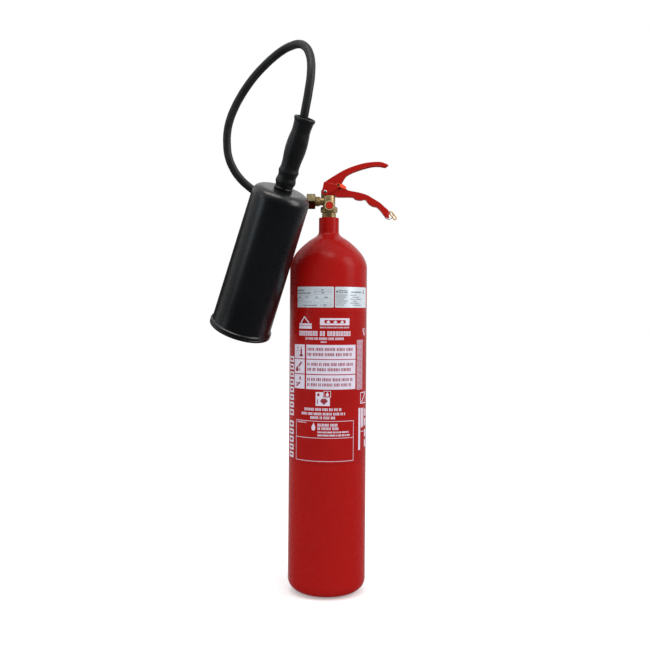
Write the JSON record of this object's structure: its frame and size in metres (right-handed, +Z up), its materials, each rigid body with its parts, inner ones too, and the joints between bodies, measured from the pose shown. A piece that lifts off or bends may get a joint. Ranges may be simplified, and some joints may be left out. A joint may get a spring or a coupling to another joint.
{
  "type": "carbon dioxide fire extinguisher",
  "caption": "Tall red steel cylinder with a brass squeeze-grip valve, a rubber hose looped over the top and a long black discharge horn with a hand grip.",
  "frame": {"origin": "centre of the cylinder's flat base, on the floor", "axes": "+Z up the cylinder, +X along the carry handle, and the front of the label faces -Y"},
  "size_m": [0.3247, 0.2316, 0.9434],
  "materials": {
    "red_paint": "gloss powder coat",
    "lever_red": "gloss paint",
    "brass": "turned and forged",
    "yellow_zinc": "yellow passivated zinc",
    "steel": "bright",
    "black_rubber": "satin",
    "grip_rubber": "satin",
    "black_plastic": "satin",
    "red_plastic": "gloss",
    "orange_plastic": "gloss",
    "seal_rubber": "matt",
    "white_plastic": "matt",
    "silver_foil": "printed foil",
    "label_film": "clear film with white print over red",
    "gold_wire": "bright"
  },
  "bodies": {
    "root": {"cylinder_shell": "red_paint", "valve_body": "brass", "dip_tube": "white_plastic", "spring_retainer": "brass", "valve_spring": "steel", "stem_seal": "seal_rubber", "stem_gland": "brass", "burst_disc": "steel", "burst_disc_washer": "brass", "burst_disc_plug": "brass", "burst_disc_cap": "red_plastic", "union_nut": "yellow_zinc", "outlet_washer": "seal_rubber", "carry_handle": "lever_red", "pivot_rivet": "steel", "handle_screw": "steel", "rating_plate_left": "silver_foil", "rating_plate_right": "silver_foil", "instruction_label": "label_film"},
    "lever": {"squeeze_lever": "lever_red", "tamper_seal": "orange_plastic"},
    "stem": {"valve_stem": "steel", "valve_poppet": "brass"},
    "pin": {"safety_pin": "yellow_zinc"},
    "ring": {"pull_ring": "steel"},
    "discharge": {"hose_tail": "brass", "hose_ferrule": "steel", "hose": "black_rubber", "horn_shell": "black_plastic", "horn_nozzle": "brass", "discharge_tube": "steel", "horn_collar": "black_plastic", "horn_grip": "grip_rubber", "grip_ferrule": "steel"},
    "tether": {"tether_ring": "steel"},
    "link": {"tether_link": "gold_wire"}
  },
  "joints": [
    {"name": "lever_squeeze", "type": "hinge", "parent": "root", "child": "lever", "pos_m": [-0.007, 0, 0.7026], "axis": [0, 1, 0], "range_deg": [0, 12], "stiffness_Nm_per_rad": 4, "springref_deg": -5.73},
    {"name": "stem_press", "type": "slide", "parent": "root", "child": "stem", "axis": [0, 0, -1], "range_m": [0, 0.0034], "deforming": ["valve_spring"]},
    {"name": "safety_pin_pull", "type": "slide", "parent": "lever", "child": "pin", "axis": [0, 1, 0], "range_m": [0, 0.045]},
    {"name": "pull_ring_swing", "type": "hinge", "parent": "pin", "child": "ring", "pos_m": [0.0158, 0.0162, 0.7145], "axis": [1, 0, 0], "range_deg": [-10, 90]},
    {"name": "hose_swivel", "type": "hinge", "parent": "root", "child": "discharge", "pos_m": [-0.034, 0, 0.6863], "axis": [1, 0, 0], "range_deg": [-90, 0]},
    {"name": "tether_ring_swing", "type": "hinge", "parent": "root", "child": "tether", "pos_m": [0.0983, 0, 0.6626], "axis": [0, 1, 0], "range_deg": [0, 6]},
    {"name": "tether_link_swing", "type": "hinge", "parent": "tether", "child": "link", "pos_m": [0.1133, 0, 0.6626], "axis": [0, 1, 0], "range_deg": [-6, 6]}
  ],
  "couplings": [
    {"joint": "stem_press", "follows": "lever_squeeze", "m_per_rad": 0.01604}
  ]
}
